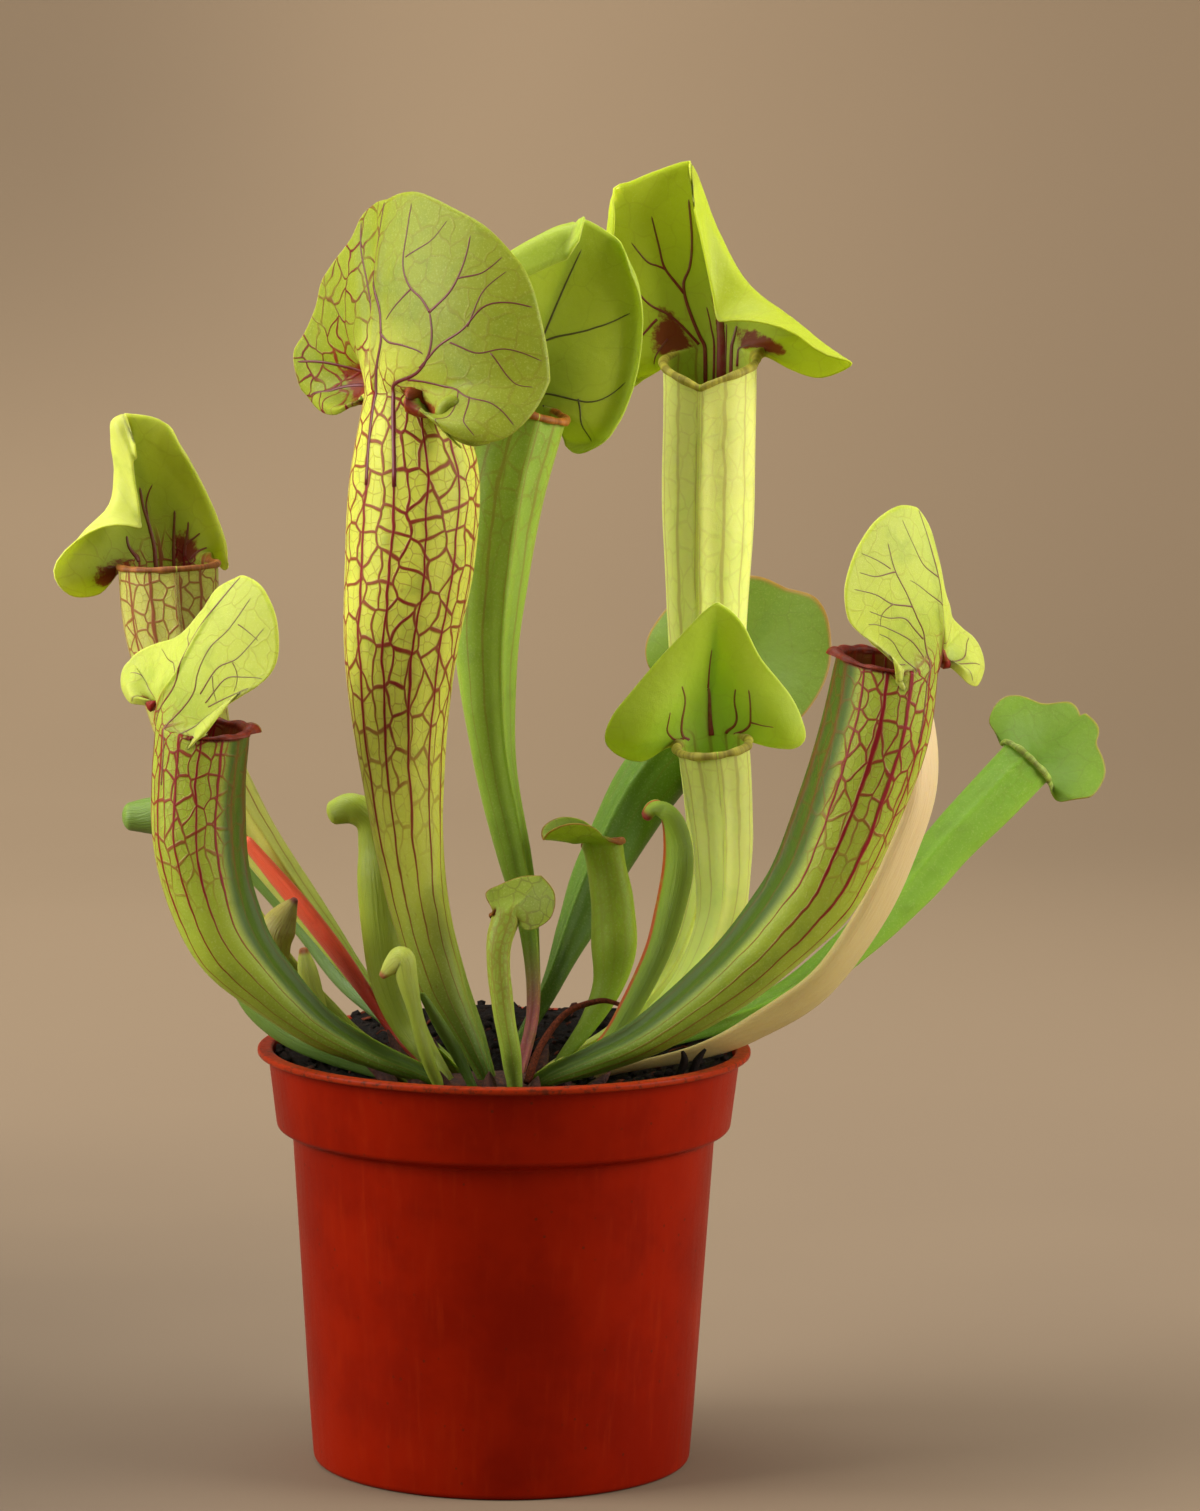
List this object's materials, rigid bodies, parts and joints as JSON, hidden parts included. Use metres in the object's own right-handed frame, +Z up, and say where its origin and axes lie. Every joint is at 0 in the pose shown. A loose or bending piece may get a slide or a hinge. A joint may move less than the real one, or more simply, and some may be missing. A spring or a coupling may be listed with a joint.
{
  "type": "potted trumpet pitcher plant",
  "caption": "Carnivorous trumpet pitcher plant with tall hooded, red-veined leaves rising from peat in a round tapered plastic nursery pot with a deep collar.",
  "frame": {"origin": "middle of the pot's underside, on the surface it stands on", "axes": "+Z straight up the pot, +X to the right and +Y away from someone facing the plant's front"},
  "size_m": [0.2578, 0.1359, 0.316],
  "materials": {
    "pot_plastic": "satin",
    "peat": "matte",
    "crown_tissue": "matte",
    "leaf_veined": "satin",
    "leaf_green": "satin",
    "leaf_red": "satin",
    "leaf_withered": "satin",
    "leaf_brown": "satin"
  },
  "bodies": {
    "root": {"pot": "pot_plastic", "soil": "peat", "rhizome": "crown_tissue", "pitcher_front_tall": "leaf_veined", "pitcher_rear_left_tall": "leaf_green", "pitcher_rear_right_tall": "leaf_veined", "pitcher_middle_right": "leaf_green", "pitcher_rear_right": "leaf_green", "pitcher_right": "leaf_veined", "leaf_withered": "leaf_withered", "pitcher_far_right": "leaf_green", "pitcher_left": "leaf_veined", "pitcher_rear_left": "leaf_veined", "pitcher_far_left": "leaf_green", "leaf_red": "leaf_red", "pitcher_behind_front": "leaf_green", "pitcher_young_brown": "leaf_brown", "pitcher_young_green": "leaf_green", "pitcher_young_front": "leaf_green", "pitcher_small_front": "leaf_green", "pitcher_open_cup": "leaf_green", "pitcher_red_tip": "leaf_green", "leaf_low_left": "leaf_green", "leaf_left_behind": "leaf_green", "leaf_narrow": "leaf_green"}
  },
  "joints": []
}
